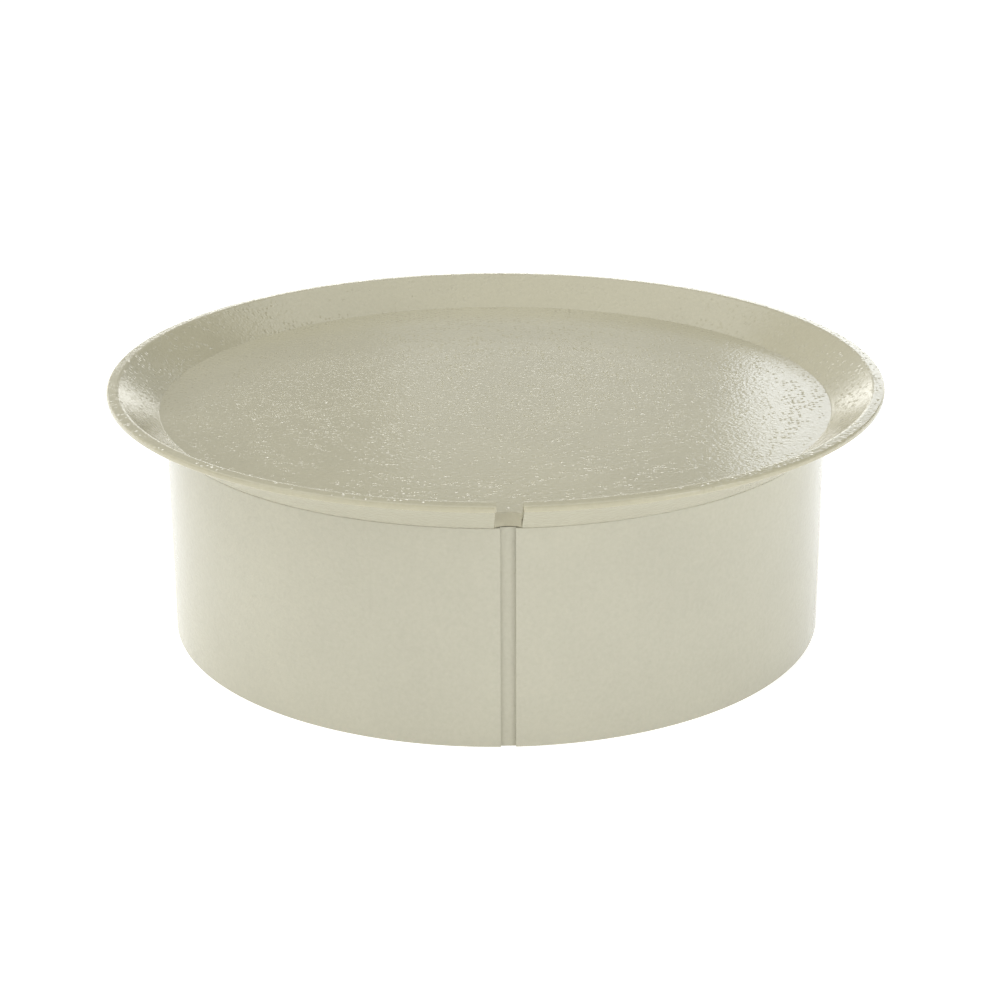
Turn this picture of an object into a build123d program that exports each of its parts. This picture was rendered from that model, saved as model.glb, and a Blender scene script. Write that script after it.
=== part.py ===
from build123d import *
from math import atan2, cos, degrees, sin, tan
import os

# Skirted manhole cover: a lift-off lid shaped like a shallow dish, nested in a frame with a deep round skirt.
# Millimetres, +Z up. The origin is the centre of the frame's bottom, and the drain notch is on the -Y side.

# Skirt, rolled from sheet with an open butt joint under the notch
skirt_diameter = 671.0
skirt_height = 216.5
skirt_wall = 3.0
joint_gap = 14.0

# Strap behind the skirt's joint, on welded studs
strap_wall = 3.0
strap_margin = 24.0        # strap on each side of the joint gap
stud_diameter = 6.0
stud_length = 12.0
stud_inset = 12.0          # from the edge of the joint gap to a stud's axis
stud_rows = 4
stud_end_distance = 22.0   # from the strap's ends to the first and last row
stud_hole_clearance = 0.3
nut_across_flats = 10.0
nut_height = 5.5
nut_flange_diameter = 13.5
nut_flange_height = 1.2
nut_thread_clearance = 0.1

# Base ring, bolted down through its inward flange
base_width = 32.5
base_plate = 8.0
anchor_count = 8
anchor_hole_diameter = 14.0
anchor_setback = 18.5      # from the skirt's inner face to the holes' circle

# Seat that carries the lid, and the gussets that hold it up
seat_width = 32.5
seat_plate = 8.0
seat_depth = 36.5          # from the skirt's top edge to the seat
gusset_count = 8
gusset_plate = 6.0
gusset_reach = 26.0
gusset_cope = 9.0
seat_pad_height = 4.0
seat_pad_width = 12.0

# Flared collar under the lid's rim
collar_wall = 3.0
rim_gap = 1.8              # between the lid's cone and the collar's cone
rim_pad_start = 9.0        # from the floor's edge to the pad, outwards
rim_pad_width = 26.0
rim_pad_notch_margin = 4.0
rim_clearance = 0.6

# Lid pan
pan_wall = 3.0
floor_margin = 5.75        # the flat floor reaches this far past the skirt
flare_run = 40.0
dish_depth = 29.0
lip_width = 11.25
lip_fall = 0.9             # the lip falls this much towards the rim
lip_height = 6.0
hem_width = 6.5
floor_edge_radius = 2.5
lip_inner_radius = 1.5
lip_outer_radius = 2.6
hem_radius = 0.8

# Drain and lifting notch
notch_width = 23.5
notch_end_radius = 20.0
notch_corner_radius = 2.4
notch_side_clearance = 0.75
apron_gap = 0.5            # between the notch's folded apron and the hoop
apron_clearance = 1.0      # above the skirt's top edge
apron_bend_radius = 1.6

# Locating hoop and the lid's stiffening
hoop_wall = 3.0
hoop_clearance = 1.5
hoop_seal_height = 6.0
hoop_seal_drop = 5.5       # from the skirt's top edge down to the seal
slide_clearance = 0.3
rib_count = 8
rib_plate = 5.0
rib_step = 7.0             # the ribs end this far above the hoop's lower edge
hub_diameter = 76.0
hub_wall = 4.0
tie_radius = 175.0
tie_width = 30.0
tie_plate = 6.0

# Key on the seat that lines the lid's notch up with the frame's
key_width = 18.0
key_depth = 12.0
key_height = 14.0
key_clearance = 1.5

# Worked out from the sizes above
skirt_radius = skirt_diameter / 2
skirt_inner = skirt_radius - skirt_wall
spigot_inner = skirt_inner - collar_wall
flare_angle = atan2(dish_depth, flare_run)
flare_slope = tan(flare_angle)
flare_miter = tan(flare_angle / 2)
collar_top_depth = pan_wall + rim_gap
collar_under_depth = collar_top_depth + collar_wall
floor_radius = skirt_radius + floor_margin
floor_z = skirt_height + collar_under_depth / cos(flare_angle) + floor_margin * flare_slope
lip_inner = floor_radius + flare_run
rim_radius = lip_inner + lip_width
lip_z = floor_z + dish_depth
floor_under_z = floor_z - pan_wall
seat_z = skirt_height - seat_depth
hoop_bottom = seat_z + seat_pad_height
hoop_radius = spigot_inner - hoop_clearance
hoop_inner = hoop_radius - hoop_wall
rib_bottom = hoop_bottom + rib_step
hub_radius = hub_diameter / 2
strap_inner = skirt_inner - strap_wall
seat_under_z = seat_z - seat_plate
notch_back = hoop_radius + apron_gap + pan_wall
half_step = 180.0 / gusset_count


def cone_z(radius, depth):
    """Height of the flare at a radius, at a depth below the dish's upper face measured square to it."""
    return floor_z + (radius - floor_radius) * flare_slope - depth / cos(flare_angle)


def turned(points, rounds=()):
    """Solid of revolution about Z from (radius, z) points; rounds holds (point, radius) for the rounded corners."""
    section = make_face(Polyline(*points, close=True))
    for (r, z), size in rounds:
        corner = section.vertices().sort_by_distance(Vector(r, z, 0))[0]
        section = fillet(corner, size)
    return revolve(Plane.XZ * section, Axis.Z)


def ring(inner, outer, bottom, top):
    """Flat ring or tube about Z."""
    return turned([(inner, bottom), (outer, bottom), (outer, top), (inner, top)])


def round_bar(radius, bottom, top):
    """Solid cylinder about Z."""
    return Pos(0, 0, bottom) * Cylinder(radius, top - bottom, align=(Align.CENTER, Align.CENTER, Align.MIN))


def front_block(width, near, far, bottom, top):
    """Box on the notch side, centred across it, between two distances from the axis."""
    return Pos(0, -(near + far) / 2, (bottom + top) / 2) * Box(width, far - near, top - bottom)


def around(shape, turn):
    """The shape, made on the +X side, turned about Z by some degrees."""
    return Rot(0, 0, turn) * shape


def save(name, shape):
    """Write one node."""
    shape.label = name
    export_step(shape, os.path.join("parts", name + ".step"))


def make_skirt():
    shell = ring(skirt_inner, skirt_radius, 0, skirt_height)
    return shell - front_block(joint_gap, skirt_inner / 2, rim_radius, -1, skirt_height + 1)


def stud_places():
    """(degrees about Z, height) of every strap stud."""
    offset = degrees((joint_gap / 2 + stud_inset) / skirt_inner)
    first = base_plate + stud_end_distance
    pitch = (seat_under_z - stud_end_distance - first) / (stud_rows - 1)
    heights = [first + pitch * row for row in range(stud_rows)]
    return [(-90 + side * offset, z) for z in heights for side in (-1, 1)]


def radial_rod(radius, inner, outer):
    """Cylinder along X between two distances from the axis."""
    length = outer - inner
    return Pos(inner + length / 2, 0, 0) * Rot(0, 90, 0) * Cylinder(radius, length)


def placed(shape, places):
    """Copies of a radial shape at each (degrees, height)."""
    return [around(Pos(0, 0, z) * shape, turn) for turn, z in places]


def make_strap():
    strap = ring(strap_inner, skirt_inner, base_plate, seat_under_z)
    strap = strap & front_block(joint_gap + 2 * strap_margin, 0, skirt_radius, base_plate, seat_under_z)
    hole = radial_rod(stud_diameter / 2 + stud_hole_clearance, strap_inner - 5, skirt_inner + 5)
    for cutter in placed(hole, stud_places()):
        strap = strap - cutter
    return strap


def make_studs():
    stud = radial_rod(stud_diameter / 2, skirt_inner - stud_length, skirt_radius)
    inside = round_bar(skirt_inner, 0, skirt_height)
    return Compound(children=[piece & inside for piece in placed(stud, stud_places())])


def make_nuts():
    face = Plane(origin=(strap_inner, 0, 0), x_dir=(0, 1, 0), z_dir=(-1, 0, 0))
    hexagon = extrude(face * RegularPolygon(nut_across_flats / 2, 6, major_radius=False), nut_height)
    flange = radial_rod(nut_flange_diameter / 2, strap_inner - nut_flange_height, strap_inner)
    bore = radial_rod(stud_diameter / 2 + nut_thread_clearance, strap_inner - 2 * nut_height, skirt_inner)
    inside = round_bar(strap_inner, 0, skirt_height)
    nut = hexagon + flange - bore
    return Compound(children=[piece & inside for piece in placed(nut, stud_places())])


def make_base():
    base = ring(skirt_inner - base_width, skirt_inner, 0, base_plate)
    circle = skirt_inner - anchor_setback
    for number in range(anchor_count):
        hole = Pos(circle, 0, base_plate / 2) * Cylinder(anchor_hole_diameter / 2, base_plate * 2)
        base = base - around(hole, number * 360 / anchor_count)
    return base


def make_seat():
    return ring(skirt_inner - seat_width, skirt_inner, seat_under_z, seat_z)


def make_gusset(number):
    outer = skirt_radius
    inner = skirt_inner - gusset_reach
    low = base_plate
    high = seat_under_z
    cope = gusset_cope + skirt_wall
    points = [(inner, low), (outer - cope, low), (outer, low + cope)]
    points += [(outer, high - cope), (outer - cope, high), (inner, high)]
    plate = extrude(Plane.XZ * make_face(Polyline(*points, close=True)), gusset_plate / 2, both=True)
    plate = plate & round_bar(skirt_inner, low, high)
    return around(plate, half_step + number * 360 / gusset_count)


def make_collar():
    hem_limit = rim_radius - hem_width - rim_clearance
    lip_limit = floor_radius + (dish_depth - pan_wall - rim_clearance) / flare_slope
    lip_limit += collar_top_depth / sin(flare_angle)
    outer = min(hem_limit, lip_limit)
    points = [(skirt_radius, skirt_height), (outer, cone_z(outer, collar_under_depth))]
    points += [(outer, cone_z(outer, collar_top_depth))]
    points += [(spigot_inner, cone_z(spigot_inner, collar_top_depth))]
    points += [(spigot_inner, seat_z), (skirt_inner, seat_z), (skirt_inner, skirt_height)]
    opening = notch_width + 2 * notch_side_clearance
    return turned(points) - front_block(opening, hoop_inner, rim_radius + 1, skirt_height, lip_z + 1)


def make_rim_pad():
    start = floor_radius + rim_pad_start
    end = start + rim_pad_width
    under = collar_top_depth
    over = pan_wall + slide_clearance
    points = [(start, cone_z(start, under)), (end, cone_z(end, under))]
    points += [(end, cone_z(end, over)), (start, cone_z(start, over))]
    opening = notch_width + 2 * notch_side_clearance + 2 * rim_pad_notch_margin
    return turned(points) - front_block(opening, hoop_inner, rim_radius, skirt_height, lip_z)


def make_seat_pad():
    pad = ring(hoop_radius - seat_pad_width, hoop_radius, seat_z, hoop_bottom)
    opening = key_width + 2 * key_clearance
    return pad - front_block(opening, hoop_inner / 2, rim_radius, seat_z - 1, hoop_bottom + 1)


def make_key():
    key = front_block(key_width, spigot_inner - key_depth, skirt_radius, seat_z, seat_z + key_height)
    return key & round_bar(spigot_inner, seat_z, seat_z + key_height)


def plan_block(width, near, far):
    """Flat rectangle on the notch side, centred across it, between two distances from the axis."""
    return Pos(0, -(near + far) / 2) * Rectangle(width, far - near)


def notch_cutter(end_radius, bottom, top):
    """Slot with a rounded inner end, and with corners that round off the lip on each side of its mouth."""
    edge = notch_width / 2
    centre = notch_back + notch_end_radius
    mouth = (rim_radius**2 - edge**2) ** 0.5
    outline = plan_block(notch_width, centre, mouth)
    outline += plan_block(notch_width + 4 * notch_corner_radius, mouth, rim_radius + lip_width)
    corners = [outline.vertices().sort_by_distance(Vector(side * edge, -mouth, 0))[0] for side in (-1, 1)]
    outline = fillet(corners, notch_corner_radius)
    outline += Pos(0, -centre) * Circle(end_radius) & plan_block(notch_width, hoop_inner, centre)
    return extrude(Pos(0, 0, bottom) * outline, top - bottom)


def make_pan():
    rim_top = lip_z - lip_fall
    hem_z = rim_top - lip_height
    outer_face = [(0, floor_z), (floor_radius, floor_z), (lip_inner, lip_z), (rim_radius, rim_top)]
    hem_inner = rim_radius - hem_width
    hem = [(rim_radius, hem_z), (hem_inner, hem_z), (hem_inner, lip_z - pan_wall)]
    under_face = [(lip_inner + pan_wall * flare_miter, lip_z - pan_wall)]
    under_face += [(floor_radius + pan_wall * flare_miter, floor_under_z), (0, floor_under_z)]
    rounds = [
        ((floor_radius, floor_z), floor_edge_radius),
        ((lip_inner, lip_z), lip_inner_radius),
        ((rim_radius, rim_top), lip_outer_radius),
        ((rim_radius, hem_z), hem_radius),
        ((hem_inner, hem_z), hem_radius),
    ]
    pan = turned(outer_face + hem + under_face, rounds)
    pan = pan - notch_cutter(notch_end_radius, floor_under_z - 1, lip_z + 1)
    apron_bottom = skirt_height + apron_clearance
    apron = notch_cutter(notch_end_radius + pan_wall, apron_bottom, floor_z)
    apron = apron - notch_cutter(notch_end_radius, apron_bottom - 1, floor_z + 1)
    pan = pan + apron
    end_edge = pan.edges().filter_by(GeomType.CIRCLE).sort_by_distance(Vector(0, -notch_back, floor_z))[0]
    return fillet(end_edge, apron_bend_radius)


def make_hoop():
    hoop = ring(hoop_inner, hoop_radius, hoop_bottom, floor_under_z)
    slot_width = key_width + 2 * key_clearance
    slot_top = seat_z + key_height + key_clearance
    return hoop - front_block(slot_width, hoop_inner / 2, rim_radius, seat_z, slot_top)


def make_hoop_seal():
    top = skirt_height - hoop_seal_drop
    return ring(hoop_radius, spigot_inner - slide_clearance, top - hoop_seal_height, top)


def make_hub():
    return ring(hub_radius - hub_wall, hub_radius, rib_bottom, floor_under_z)


def make_tie():
    return ring(tie_radius - tie_width / 2, tie_radius + tie_width / 2, rib_bottom - tie_plate, rib_bottom)


def make_rib(number):
    length = hoop_radius
    middle = (rib_bottom + floor_under_z) / 2
    plate = Pos(length / 2, 0, middle) * Box(length, rib_plate, floor_under_z - rib_bottom)
    plate = plate & ring(hub_radius, hoop_inner, rib_bottom, floor_under_z)
    return around(plate, 180 / rib_count + number * 360 / rib_count)


os.makedirs("parts", exist_ok=True)
save("skirt_shell", make_skirt())
save("joint_strap", make_strap())
save("strap_studs", make_studs())
save("strap_nuts", make_nuts())
save("base_ring", make_base())
save("seat_ring", make_seat())
save("collar_ring", make_collar())
save("rim_pad", make_rim_pad())
save("seat_pad", make_seat_pad())
save("locating_key", make_key())
for gusset in range(gusset_count):
    save(f"seat_gusset_{gusset + 1}", make_gusset(gusset))
save("cover_pan", make_pan())
save("locating_hoop", make_hoop())
save("hoop_seal", make_hoop_seal())
save("hub_tube", make_hub())
save("tie_ring", make_tie())
for rib in range(rib_count):
    save(f"radial_rib_{rib + 1}", make_rib(rib))
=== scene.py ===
"""Skirted manhole cover: coated lid pan, flared frame and the steelwork under the lid."""

import math

import bmesh
import bpy
from bpy.props import FloatProperty, FloatVectorProperty, PointerProperty
from mathutils import Matrix, Quaternion, Vector


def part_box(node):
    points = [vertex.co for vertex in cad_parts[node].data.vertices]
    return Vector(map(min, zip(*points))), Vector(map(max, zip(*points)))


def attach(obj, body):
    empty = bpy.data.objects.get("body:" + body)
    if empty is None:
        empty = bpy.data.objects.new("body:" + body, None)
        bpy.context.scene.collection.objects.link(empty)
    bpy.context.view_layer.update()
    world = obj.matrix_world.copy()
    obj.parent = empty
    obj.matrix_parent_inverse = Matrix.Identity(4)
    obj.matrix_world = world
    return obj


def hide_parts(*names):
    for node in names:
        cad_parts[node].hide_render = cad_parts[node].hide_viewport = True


bl_info = {
    "name": "Skirted Manhole Cover",
    "version": (1, 0, 0),
    "blender": (4, 5, 0),
    "location": "3D View > Sidebar > Manhole Cover",
    "description": "Builds a coated manhole cover with a lift-off dished lid and a skirted frame",
    "category": "Add Mesh",
}

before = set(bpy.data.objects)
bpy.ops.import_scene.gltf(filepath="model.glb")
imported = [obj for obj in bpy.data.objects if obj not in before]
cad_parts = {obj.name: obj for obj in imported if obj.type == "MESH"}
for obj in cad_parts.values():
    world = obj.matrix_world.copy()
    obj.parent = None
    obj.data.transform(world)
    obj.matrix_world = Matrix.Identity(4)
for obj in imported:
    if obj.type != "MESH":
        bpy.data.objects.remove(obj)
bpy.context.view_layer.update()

FULL_TURN = 2 * math.pi
DAYLIGHT = (0.965, 1.0, 1.055)
SMOOTH_BELOW = math.radians(32)
SHARP_ABOVE = math.radians(40)
NOTCH_SIDE = -math.pi / 2
ROUND_STEPS = 288
NOTCH_END_GAP = 0.0005
KEY_CLEARANCE = 0.0015
RIPPLE = 0.0003
RIB_NODES = sorted(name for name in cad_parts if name.startswith("radial_rib_"))
GUSSET_NODES = sorted(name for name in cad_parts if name.startswith("seat_gusset_"))


# ---- sizes read from the frame


def outer_radius(node):
    """Largest radius of a round node."""
    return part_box(node)[1][0]


def low(node):
    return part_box(node)[0][2]


def high(node):
    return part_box(node)[1][2]


# ---- properties


class CoverSizes(bpy.types.PropertyGroup):
    """Sizes of the sheet and bar that the pieces are made from."""

    sheet: FloatProperty(
        name="Sheet", description="Wall of the pan, collar and skirt", default=0.003, unit="LENGTH"
    )
    floor_margin: FloatProperty(
        name="Floor margin",
        description="How far the flat floor passes the skirt",
        default=0.00575,
        unit="LENGTH",
    )
    flare_run: FloatProperty(
        name="Flare run", description="Width of the pan's cone in plan", default=0.040, unit="LENGTH"
    )
    lip_fall: FloatProperty(
        name="Lip fall",
        description="How much the lip falls towards the rim",
        default=0.0009,
        unit="LENGTH",
    )
    lip_height: FloatProperty(
        name="Lip height", description="Height of the rim's outer face", default=0.006, unit="LENGTH"
    )
    hem_width: FloatProperty(
        name="Hem width",
        description="Width of the folded hem under the lip",
        default=0.0065,
        unit="LENGTH",
    )
    rim_gap: FloatProperty(
        name="Rim gap",
        description="Gap between the pan's cone and the collar's",
        default=0.0018,
        unit="LENGTH",
    )
    notch_width: FloatProperty(
        name="Notch width", description="Width of the drain notch", default=0.0235, unit="LENGTH"
    )
    notch_end: FloatProperty(
        name="Notch end",
        description="Radius of the notch's rounded inner end",
        default=0.020,
        unit="LENGTH",
    )
    notch_corner: FloatProperty(
        name="Notch corner",
        description="Rounding of the lip beside the notch",
        default=0.0024,
        unit="LENGTH",
    )
    joint_gap: FloatProperty(
        name="Joint gap",
        description="Open joint down the front of the skirt",
        default=0.014,
        unit="LENGTH",
    )
    edge_round: FloatProperty(
        name="Edge round", description="Rounding of coated sheet edges", default=0.0007, unit="LENGTH"
    )
    weld_leg: FloatProperty(
        name="Weld leg", description="Leg of the fillet welds", default=0.004, unit="LENGTH"
    )
    rib_wall: FloatProperty(
        name="Rib wall", description="Thickness of a lid rib", default=0.005, unit="LENGTH"
    )
    gusset_wall: FloatProperty(
        name="Gusset wall", description="Thickness of a frame gusset", default=0.006, unit="LENGTH"
    )


class CoverFinish(bpy.types.PropertyGroup):
    """Colours and textures of the finishes."""

    lid_coat: FloatVectorProperty(
        name="Lid coat",
        description="Colour of the lid's powder coat",
        subtype="COLOR",
        size=3,
        default=(0.458, 0.425, 0.298),
    )
    skirt_coat: FloatVectorProperty(
        name="Skirt coat",
        description="Colour of the frame's powder coat",
        subtype="COLOR",
        size=3,
        default=(0.468, 0.447, 0.347),
    )
    inner_coat: FloatVectorProperty(
        name="Inner coat",
        description="Colour of the thinner coat inside",
        subtype="COLOR",
        size=3,
        default=(0.41, 0.375, 0.25),
    )
    rubber: FloatVectorProperty(
        name="Rubber",
        description="Colour of the rubber pads",
        subtype="COLOR",
        size=3,
        default=(0.022, 0.022, 0.023),
    )
    zinc: FloatVectorProperty(
        name="Zinc",
        description="Colour of the zinc plating",
        subtype="COLOR",
        size=3,
        default=(0.62, 0.63, 0.64),
    )
    peel_size: FloatProperty(
        name="Peel size", description="Width of one orange-peel dimple", default=0.0042, unit="LENGTH"
    )
    peel_depth: FloatProperty(
        name="Peel depth", description="Depth of the orange peel", default=0.00046, unit="LENGTH"
    )
    pip_spacing: FloatProperty(
        name="Pip spacing",
        description="Distance between possible pips on the lid",
        default=0.005,
        unit="LENGTH",
    )
    pip_depth: FloatProperty(
        name="Pip depth", description="Depth of a full pip", default=0.0004, unit="LENGTH"
    )
    pip_share: FloatProperty(
        name="Pip share", description="Share of the places that hold a pip", default=0.55
    )


class StageSettings(bpy.types.PropertyGroup):
    """Camera and light."""

    camera_distance: FloatProperty(
        name="Camera distance",
        description="From the lid's centre to the camera",
        default=2.3128,
        unit="LENGTH",
    )
    camera_elevation: FloatProperty(
        name="Camera elevation",
        description="Angle above the lid",
        default=math.radians(17.93),
        subtype="ANGLE",
    )
    camera_azimuth: FloatProperty(
        name="Camera azimuth",
        description="Turn away from the notch",
        default=math.radians(1.8),
        subtype="ANGLE",
    )
    camera_roll: FloatProperty(
        name="Camera roll",
        description="Tilt of the picture",
        default=math.radians(-0.203),
        subtype="ANGLE",
    )
    aim_height: FloatProperty(
        name="Aim height", description="Height that the camera looks at", default=0.1176, unit="LENGTH"
    )
    aim_side: FloatProperty(
        name="Aim side",
        description="Sideways offset that the camera looks at",
        default=0.0041,
        unit="LENGTH",
    )
    lens: FloatProperty(name="Lens", description="Focal length in millimetres", default=81.15)
    world_level: FloatProperty(
        name="World level", description="Brightness of the surroundings", default=0.4
    )
    strip_level: FloatProperty(
        name="Strip level", description="Brightness of the low strip behind the cover", default=2.4
    )
    floor_glow: FloatProperty(
        name="Floor glow", description="Brightness of the lit floor sweep", default=0.56
    )


# ---- mesh helpers


def bare_object(bm, name):
    """Object from a bmesh, with no material or body yet."""
    mesh = bpy.data.meshes.new(name)
    bm.to_mesh(mesh)
    bm.free()
    piece = bpy.data.objects.new(name, mesh)
    bpy.context.scene.collection.objects.link(piece)
    return piece


def shade(piece):
    """Smooth shading with the sharp edges kept."""
    piece.data.shade_smooth()
    piece.data.set_sharp_from_angle(angle=SMOOTH_BELOW)


def dress(piece, material):
    """Shading, area-weighted normals and one material."""
    shade(piece)
    weighted = piece.modifiers.new("Weighted normals", "WEIGHTED_NORMAL")
    weighted.keep_sharp = True
    weighted.weight = 100
    piece.data.materials.clear()
    piece.data.materials.append(material)


def finished(bm, name, material, body, node_names=()):
    """Makes the object from a bmesh, shades it, ties it to its body and hides the nodes it stands for."""
    piece = bare_object(bm, name)
    dress(piece, material)
    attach(piece, body)
    if node_names:
        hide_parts(*node_names)
    return piece


def soften(bm, geom, reach, segments=2, affect="EDGES", clamp=False):
    """Bevels edges or corners; gives what the operator gives."""
    return bmesh.ops.bevel(
        bm,
        geom=geom,
        offset=reach,
        offset_type="OFFSET",
        segments=segments,
        profile=0.5,
        affect=affect,
        clamp_overlap=clamp,
        material=-1,
    )


def outward(bm):
    """Turns every face outwards."""
    bmesh.ops.recalc_face_normals(bm, faces=bm.faces[:])


def only(items, kind):
    """The items of one bmesh kind."""
    return [item for item in items if isinstance(item, kind)]


def turn_about(bm, verts, turn):
    """Turns vertices about the cover's axis."""
    bmesh.ops.rotate(bm, verts=verts, cent=(0, 0, 0), matrix=Matrix.Rotation(turn, 3, "Z"))


def sweep(bm, wire, turn, steps, merge):
    """Spins a wire about the axis."""
    origin = (0, 0, 0)
    return bmesh.ops.spin(
        bm, geom=wire, cent=origin, axis=(0, 0, 1), dvec=origin, angle=turn, steps=steps, use_merge=merge
    )


def closed_spin(bm, wire, steps):
    """Whole turn of a wire, joined up at its start and on the axis."""
    sweep(bm, wire, FULL_TURN, steps, True)
    bmesh.ops.remove_doubles(bm, verts=bm.verts[:], dist=1e-6)
    outward(bm)


def spoke(number, count):
    """Direction of one of a number of evenly spaced spokes, the first half a step round."""
    return math.pi / count + number * FULL_TURN / count


def profile_wire(bm, points, rounds=()):
    """Closed wire in the XZ plane from (radius, height) points; rounds holds (index, reach)."""
    corners = [bm.verts.new((r, 0, z)) for r, z in points]
    for first, second in zip(corners, corners[1:] + corners[:1]):
        bm.edges.new((first, second))
    for index, reach in rounds:
        soften(bm, [corners[index]], reach, 5, "VERTICES")
    return bm.verts[:] + bm.edges[:]


def spin_full(points, rounds=(), steps=ROUND_STEPS):
    """Closed ring or dish turned from a profile."""
    bm = bmesh.new()
    wire = profile_wire(bm, points, rounds)
    closed_spin(bm, wire, steps)
    return bm


def spin_part(points, start, turn, rounds=(), steps=ROUND_STEPS):
    """Part of a ring, with its two ends closed."""
    bm = bmesh.new()
    wire = profile_wire(bm, points, rounds)
    turn_about(bm, bm.verts[:], start)
    first = only(wire, bmesh.types.BMEdge)
    spun = sweep(bm, wire, turn, steps, False)
    last = only(spun["geom_last"], bmesh.types.BMEdge)
    for loop in (first, last):
        bmesh.ops.contextual_create(bm, geom=loop)
    outward(bm)
    return bm


def open_ring(points, half_gap, rounds):
    """Ring with a gap on the notch's side; half_gap is an angle."""
    return spin_part(points, NOTCH_SIDE + half_gap, FULL_TURN - 2 * half_gap, rounds)


def flat_section(inner, outer, bottom, top):
    return [(inner, bottom), (outer, bottom), (outer, top), (inner, top)]


def all_corners(reach, count=4):
    return [(index, reach) for index in range(count)]


def block(bm, size, centre, bevel=0.0):
    """Box with rounded edges inside a bmesh; gives its vertices."""
    made = bmesh.ops.create_cube(bm, size=1.0)["verts"]
    bmesh.ops.scale(bm, vec=size, verts=made)
    bmesh.ops.translate(bm, vec=centre, verts=made)
    if bevel:
        edges = list({edge for vert in made for edge in vert.link_edges})
        cut = soften(bm, edges, bevel)
        made = list({vert for face in cut["faces"] for vert in face.verts} | {v for v in made if v.is_valid})
    return made


def cone(bm, segments, foot, tip, depth, place):
    """Closed cone or cylinder at a place; gives its vertices."""
    return bmesh.ops.create_cone(
        bm, cap_ends=True, segments=segments, radius1=foot, radius2=tip, depth=depth, matrix=place
    )["verts"]


def cut_away(piece, cutter):
    """Takes the cutter's solid out of the piece and removes the cutter."""
    tool = piece.modifiers.new("Cut", "BOOLEAN")
    tool.operation = "DIFFERENCE"
    tool.solver = "EXACT"
    tool.object = cutter
    bpy.context.view_layer.update()
    shaped = bpy.data.meshes.new_from_object(piece.evaluated_get(bpy.context.evaluated_depsgraph_get()))
    piece.modifiers.remove(tool)
    old = piece.data
    piece.data = shaped
    bpy.data.meshes.remove(old)
    bpy.data.objects.remove(cutter)


def round_cut_edges(piece, inside, reach):
    """Rounds the sharp edges for which inside(edge centre) holds."""
    bm = bmesh.new()
    bm.from_mesh(piece.data)
    bmesh.ops.remove_doubles(bm, verts=bm.verts[:], dist=2e-6)
    sharp = []
    for edge in bm.edges:
        centre = (edge.verts[0].co + edge.verts[1].co) / 2
        if len(edge.link_faces) == 2 and edge.calc_face_angle() > SHARP_ABOVE and inside(centre):
            sharp.append(edge)
    soften(bm, sharp, reach, 3, clamp=True)
    outward(bm)
    bm.to_mesh(piece.data)
    bm.free()


# ---- shader helpers


def node_group(name, inputs, outputs):
    """New shader node group with (name, kind, default) inputs and (name, kind) outputs."""
    group = bpy.data.node_groups.new(name, "ShaderNodeTree")
    for label, kind, default in inputs:
        socket = group.interface.new_socket(name=label, in_out="INPUT", socket_type=kind)
        socket.default_value = default
    for label, kind in outputs:
        group.interface.new_socket(name=label, in_out="OUTPUT", socket_type=kind)
    return group, group.nodes.new("NodeGroupInput"), group.nodes.new("NodeGroupOutput")


def maths(tree, operation, first, second=None, clamp=False):
    """Math node; a number or a socket on each side."""
    node = tree.nodes.new("ShaderNodeMath")
    node.operation = operation
    node.use_clamp = clamp
    for index, value in enumerate((first, second)):
        if value is None:
            continue
        if isinstance(value, (int, float)):
            node.inputs[index].default_value = value
        else:
            tree.links.new(value, node.inputs[index])
    return node.outputs[0]


def ramp(tree, value, low_in, high_in, low_out=0.0, high_out=1.0):
    """Smooth step between two levels."""
    node = tree.nodes.new("ShaderNodeMapRange")
    node.interpolation_type = "SMOOTHSTEP"
    tree.links.new(value, node.inputs["Value"])
    node.inputs["From Min"].default_value = low_in
    node.inputs["From Max"].default_value = high_in
    node.inputs["To Min"].default_value = low_out
    node.inputs["To Max"].default_value = high_out
    return node.outputs["Result"]


def noise(tree, vector, scale, detail=2.0, roughness=0.5):
    """Noise texture; scale is a number or a socket."""
    node = tree.nodes.new("ShaderNodeTexNoise")
    tree.links.new(vector, node.inputs["Vector"])
    if isinstance(scale, (int, float)):
        node.inputs["Scale"].default_value = scale
    else:
        tree.links.new(scale, node.inputs["Scale"])
    node.inputs["Detail"].default_value = detail
    node.inputs["Roughness"].default_value = roughness
    return node.outputs["Fac"]


def object_place(tree):
    return tree.nodes.new("ShaderNodeTexCoord").outputs["Object"]


def make_orange_peel():
    """Soft dimples of a sprayed coat, in two sizes, with a slow drift of tone."""
    group, inlet, outlet = node_group(
        "Orange Peel",
        [("Dimple", "NodeSocketFloat", 0.005)],
        [("Height", "NodeSocketFloat"), ("Tone", "NodeSocketFloat")],
    )
    place = object_place(group)
    pitch = maths(group, "DIVIDE", 1.0, inlet.outputs["Dimple"])
    coarse = noise(group, place, pitch, 1.0, 0.4)
    fine = noise(group, place, maths(group, "MULTIPLY", pitch, 2.2), 1.0, 0.4)
    coarse = maths(group, "MULTIPLY", coarse, 0.65)
    height = maths(group, "ADD", coarse, maths(group, "MULTIPLY", fine, 0.35))
    group.links.new(height, outlet.inputs["Height"])
    group.links.new(noise(group, place, 7.0, 3.0, 0.6), outlet.inputs["Tone"])
    return group


def distance(tree, across, along):
    """Length of the plan vector with these two parts."""
    first = maths(tree, "MULTIPLY", across, across)
    second = maths(tree, "MULTIPLY", along, along)
    return maths(tree, "SQRT", maths(tree, "ADD", first, second))


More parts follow.
